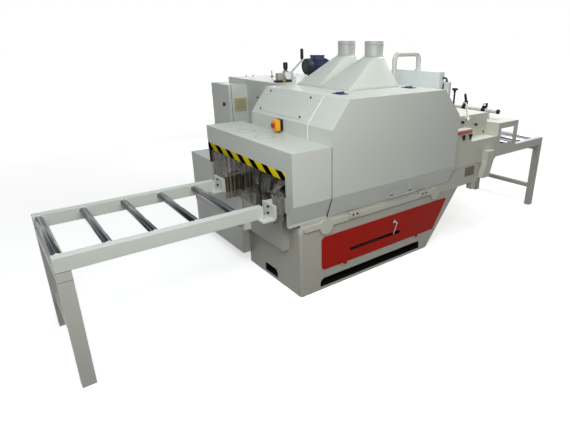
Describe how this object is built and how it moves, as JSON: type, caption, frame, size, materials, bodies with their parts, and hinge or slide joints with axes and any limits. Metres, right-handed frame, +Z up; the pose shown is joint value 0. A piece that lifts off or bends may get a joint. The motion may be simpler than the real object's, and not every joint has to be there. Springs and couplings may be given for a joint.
{
  "type": "multi rip saw",
  "caption": "Chain-fed gang rip saw with guarded hood, hinged side door, dust chutes, drive cabinet and roller tables at both ends.",
  "frame": {"origin": "on the floor under the middle of the base's footprint", "axes": "+X along the feed from infeed to outfeed, +Z up, operator on the -Y side"},
  "size_m": [5.109, 2.4188, 1.925],
  "materials": {
    "machine_paint": "light grey paint, satin",
    "bed_paint": "painted casting, light grey",
    "panel_red": "deep red paint, satin",
    "zinc_steel": "zinc plated steel",
    "chrome_trim": "chromed steel",
    "navy_paint": "dark blue paint",
    "black_steel": "black plastic",
    "black_oxide": "black oxide steel",
    "clear_strip": "clear soft vinyl strip",
    "estop_yellow": "yellow housing",
    "estop_red": "red mushroom button",
    "filter_beige": "beige vent grille",
    "saw_steel": "ground steel",
    "iron": "machined iron",
    "belt_rubber": "rubber belt",
    "alloy": "die-cast body"
  },
  "bodies": {
    "machine": {"base_frame": "machine_paint", "bed_casting": "bed_paint", "feed_rails": "bed_paint", "feed_chain": "iron", "infeed_hood": "machine_paint", "main_hood": "machine_paint", "access_plate": "machine_paint", "hinge_leaves": "navy_paint", "dust_chutes": "machine_paint", "drive_cabinet": "machine_paint", "side_cabinet": "machine_paint", "electrical_box": "machine_paint", "vent_grille": "filter_beige", "estop_box": "estop_yellow", "table_rails": "machine_paint", "table_legs": "machine_paint", "rail_brackets": "machine_paint", "bracket_bolts": "black_oxide", "outfeed_bed": "machine_paint", "outfeed_cover": "machine_paint", "outfeed_guard": "machine_paint", "guide_bar": "chrome_trim", "pendant_arm": "machine_paint", "air_regulator": "alloy", "lift_motor": "navy_paint", "bearing_pedestals": "iron", "main_motor": "navy_paint", "drive_belts": "belt_rubber"},
    "hood_door": {"hood_door": "machine_paint", "door_handle": "chrome_trim", "door_leaves": "navy_paint"},
    "saw_arbor": {"saw_arbor": "saw_steel", "saw_blades": "saw_steel"},
    "infeed_roller_1": {"infeed_roller_1": "zinc_steel"},
    "infeed_roller_2": {"infeed_roller_2": "zinc_steel"},
    "infeed_roller_3": {"infeed_roller_3": "zinc_steel"},
    "infeed_roller_4": {"infeed_roller_4": "zinc_steel"},
    "infeed_roller_5": {"infeed_roller_5": "zinc_steel"},
    "outfeed_roller_1": {"outfeed_roller_1": "zinc_steel"},
    "outfeed_roller_2": {"outfeed_roller_2": "zinc_steel"},
    "outfeed_roller_3": {"outfeed_roller_3": "zinc_steel"},
    "outfeed_roller_4": {"outfeed_roller_4": "zinc_steel"},
    "feed_drum_1": {"feed_drum_1": "iron"},
    "feed_drum_2": {"feed_drum_2": "iron"},
    "motor_pulley": {"motor_pulley": "iron"},
    "pressure_roller_1": {"pressure_roller_1": "iron"},
    "pressure_roller_2": {"pressure_roller_2": "iron"},
    "strip_curtain": {"strip_curtain": "clear_strip"},
    "electrical_door": {"electrical_door": "machine_paint"},
    "estop_button": {"estop_button": "estop_red"},
    "cover_panel": {"cover_panel": "panel_red"},
    "panel_latch": {"panel_latch": "chrome_trim"},
    "lock_lever": {"lock_lever": "chrome_trim"},
    "star_knob": {"star_knob": "black_steel"},
    "selector_knob_1": {"selector_knob_1": "black_steel"},
    "selector_knob_2": {"selector_knob_2": "black_steel"},
    "bar_clamp_1": {"bar_clamp_1": "black_steel"},
    "bar_clamp_2": {"bar_clamp_2": "black_steel"},
    "pendant_box": {"pendant_box": "machine_paint"},
    "crank": {"crank": "chrome_trim"}
  },
  "joints": [
    {"name": "infeed_roller_1_spin", "type": "hinge", "parent": "machine", "child": "infeed_roller_1", "pos_m": [-2.29, 0, 0.825], "axis": [0, 1, 0], "continuous": true},
    {"name": "infeed_roller_2_spin", "type": "hinge", "parent": "machine", "child": "infeed_roller_2", "pos_m": [-2.027, 0, 0.825], "axis": [0, 1, 0], "continuous": true},
    {"name": "infeed_roller_3_spin", "type": "hinge", "parent": "machine", "child": "infeed_roller_3", "pos_m": [-1.764, 0, 0.825], "axis": [0, 1, 0], "continuous": true},
    {"name": "infeed_roller_4_spin", "type": "hinge", "parent": "machine", "child": "infeed_roller_4", "pos_m": [-1.501, 0, 0.825], "axis": [0, 1, 0], "continuous": true},
    {"name": "infeed_roller_5_spin", "type": "hinge", "parent": "machine", "child": "infeed_roller_5", "pos_m": [-1.238, 0, 0.825], "axis": [0, 1, 0], "continuous": true},
    {"name": "outfeed_roller_1_spin", "type": "hinge", "parent": "machine", "child": "outfeed_roller_1", "pos_m": [1.964, 0, 0.825], "axis": [0, 1, 0], "continuous": true},
    {"name": "outfeed_roller_2_spin", "type": "hinge", "parent": "machine", "child": "outfeed_roller_2", "pos_m": [2.227, 0, 0.825], "axis": [0, 1, 0], "continuous": true},
    {"name": "outfeed_roller_3_spin", "type": "hinge", "parent": "machine", "child": "outfeed_roller_3", "pos_m": [2.49, 0, 0.825], "axis": [0, 1, 0], "continuous": true},
    {"name": "outfeed_roller_4_spin", "type": "hinge", "parent": "machine", "child": "outfeed_roller_4", "pos_m": [2.753, 0, 0.825], "axis": [0, 1, 0], "continuous": true},
    {"name": "feed_drum_1_spin", "type": "hinge", "parent": "machine", "child": "feed_drum_1", "pos_m": [-0.62, 0, 0.745], "axis": [0, 1, 0], "continuous": true},
    {"name": "feed_drum_2_spin", "type": "hinge", "parent": "machine", "child": "feed_drum_2", "pos_m": [0.87, 0, 0.745], "axis": [0, 1, 0], "continuous": true},
    {"name": "arbor_spin", "type": "hinge", "parent": "machine", "child": "saw_arbor", "pos_m": [0.25, 0, 0.997], "axis": [0, 1, 0], "continuous": true},
    {"name": "motor_spin", "type": "hinge", "parent": "machine", "child": "motor_pulley", "pos_m": [0.25, 0.82, 0.27], "axis": [0, 1, 0], "continuous": true},
    {"name": "pressure_roller_1_spin", "type": "hinge", "parent": "machine", "child": "pressure_roller_1", "pos_m": [-0.01, 0, 0.908], "axis": [0, 1, 0], "continuous": true},
    {"name": "pressure_roller_2_spin", "type": "hinge", "parent": "machine", "child": "pressure_roller_2", "pos_m": [0.51, 0, 0.908], "axis": [0, 1, 0], "continuous": true},
    {"name": "hood_door_hinge", "type": "hinge", "parent": "machine", "child": "hood_door", "pos_m": [0.25, -0.16975, 1.5413], "axis": [-1, 0, 0], "range_deg": [0, 85]},
    {"name": "electrical_door_hinge", "type": "hinge", "parent": "machine", "child": "electrical_door", "pos_m": [-0.3, 1.922, 1.18], "axis": [0, 0, -1], "range_deg": [0, 110]},
    {"name": "panel_hinge", "type": "hinge", "parent": "machine", "child": "cover_panel", "pos_m": [0.25, -0.418, 0.17], "axis": [1, 0, 0], "range_deg": [0, 80]},
    {"name": "panel_latch_turn", "type": "hinge", "parent": "cover_panel", "child": "panel_latch", "pos_m": [0.27, -0.425, 0.404], "axis": [0, 1, 0], "range_deg": [0, 90]},
    {"name": "lock_lever_turn", "type": "hinge", "parent": "machine", "child": "lock_lever", "pos_m": [1.424, -0.28, 1.192], "axis": [0, 1, 0], "range_deg": [-35, 35]},
    {"name": "star_knob_turn", "type": "hinge", "parent": "machine", "child": "star_knob", "pos_m": [1.545, 0, 1.3], "axis": [0, 0, 1], "continuous": true},
    {"name": "selector_knob_1_turn", "type": "hinge", "parent": "machine", "child": "selector_knob_1", "pos_m": [1.181, -0.43, 1.058], "axis": [0, 1, 0], "range_deg": [-45, 45]},
    {"name": "selector_knob_2_turn", "type": "hinge", "parent": "machine", "child": "selector_knob_2", "pos_m": [1.289, -0.43, 1.058], "axis": [0, 1, 0], "range_deg": [-45, 45]},
    {"name": "pendant_swivel", "type": "hinge", "parent": "machine", "child": "pendant_box", "pos_m": [1.034, 0.085, 1.6], "axis": [0, 0, 1], "range_deg": [-20, 20]},
    {"name": "crank_turn", "type": "hinge", "parent": "machine", "child": "crank", "pos_m": [0.18, 1.05, 1.6], "axis": [0, 0, 1], "continuous": true},
    {"name": "curtain_swing", "type": "hinge", "parent": "machine", "child": "strip_curtain", "pos_m": [-0.831, 0, 1.016], "axis": [0, 1, 0], "range_deg": [-12, 12]},
    {"name": "bar_clamp_1_slide", "type": "slide", "parent": "machine", "child": "bar_clamp_1", "axis": [0, 1, 0], "range_m": [-0.02, 0.1]},
    {"name": "bar_clamp_2_slide", "type": "slide", "parent": "machine", "child": "bar_clamp_2", "axis": [0, 1, 0], "range_m": [-0.08, 0.08]},
    {"name": "estop_press", "type": "slide", "parent": "machine", "child": "estop_button", "axis": [1, 0, 0], "range_m": [0, 0.005], "stiffness_N_per_m": 1500}
  ],
  "couplings": [
    {"joint": "motor_spin", "follows": "arbor_spin", "ratio": 0.72727},
    {"joint": "feed_drum_2_spin", "follows": "feed_drum_1_spin", "ratio": 1}
  ]
}
